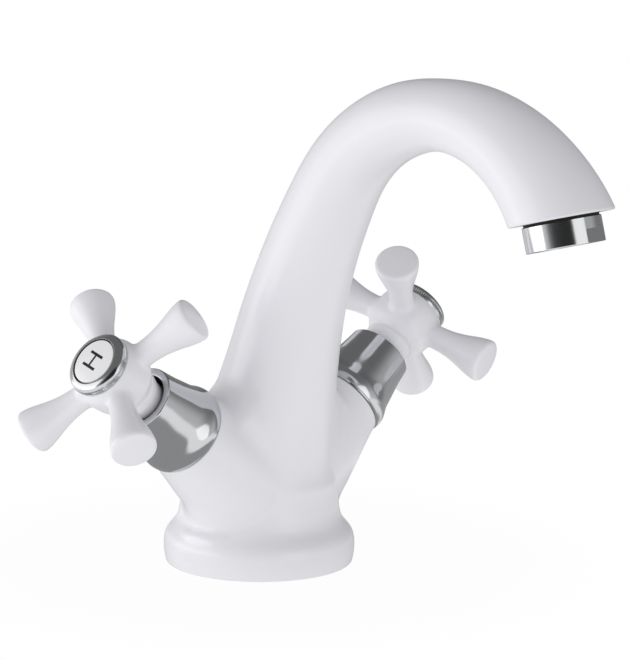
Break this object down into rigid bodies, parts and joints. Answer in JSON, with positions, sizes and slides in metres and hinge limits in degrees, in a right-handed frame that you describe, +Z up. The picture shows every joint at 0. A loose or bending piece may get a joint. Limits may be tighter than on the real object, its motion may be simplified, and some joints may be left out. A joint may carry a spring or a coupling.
{
  "type": "two-handle basin mixer",
  "caption": "White enamelled basin mixer tap with a fixed swan-neck spout, chrome bonnets and aerator, and cross handles on angled valves.",
  "frame": {"origin": "centre of the round base on the deck", "axes": "+Z up, the spout points to -Y, hot valve on -X and cold valve on +X"},
  "size_m": [0.1767, 0.1736, 0.1653],
  "materials": {
    "white_enamel": "glossy white enamel on cast brass",
    "chrome_plate": "polished",
    "turned_brass": "turned",
    "stainless_steel": "satin",
    "alumina": "lapped",
    "white_porcelain": "glazed",
    "black_rubber": "matt",
    "white_acetal": "moulded",
    "fibre": "pressed red fibre"
  },
  "bodies": {
    "mixer": {"mixer_body": "white_enamel", "base_seal": "black_rubber", "aerator_housing": "chrome_plate", "aerator_insert": "white_acetal", "aerator_screen": "stainless_steel", "aerator_washer": "black_rubber", "hot_bonnet": "chrome_plate", "hot_headwork_body": "turned_brass", "hot_seat_washer": "fibre", "hot_fixed_disc": "alumina", "hot_bottom_seal": "black_rubber", "hot_glide_ring": "white_acetal", "cold_bonnet": "chrome_plate", "cold_headwork_body": "turned_brass", "cold_seat_washer": "fibre", "cold_fixed_disc": "alumina", "cold_bottom_seal": "black_rubber", "cold_glide_ring": "white_acetal"},
    "hot_handle": {"hot_moving_disc": "alumina", "hot_spindle": "turned_brass", "hot_spindle_clip": "stainless_steel", "hot_spindle_o_rings": "black_rubber", "hot_handle_screw": "stainless_steel", "hot_index_ring": "chrome_plate", "hot_index_disc": "white_porcelain", "hot_cross_handle": "white_enamel"},
    "cold_handle": {"cold_moving_disc": "alumina", "cold_spindle": "turned_brass", "cold_spindle_clip": "stainless_steel", "cold_spindle_o_rings": "black_rubber", "cold_handle_screw": "stainless_steel", "cold_index_ring": "chrome_plate", "cold_index_disc": "white_porcelain", "cold_cross_handle": "white_enamel"}
  },
  "joints": [
    {"name": "hot_turn", "type": "hinge", "parent": "mixer", "child": "hot_handle", "pos_m": [-0.0353, -0.002, 0.0479], "axis": [-0.8039, 0, 0.5948], "range_deg": [0, 180]},
    {"name": "cold_turn", "type": "hinge", "parent": "mixer", "child": "cold_handle", "pos_m": [0.0353, -0.002, 0.0479], "axis": [0.8039, 0, 0.5948], "range_deg": [0, 180]}
  ]
}
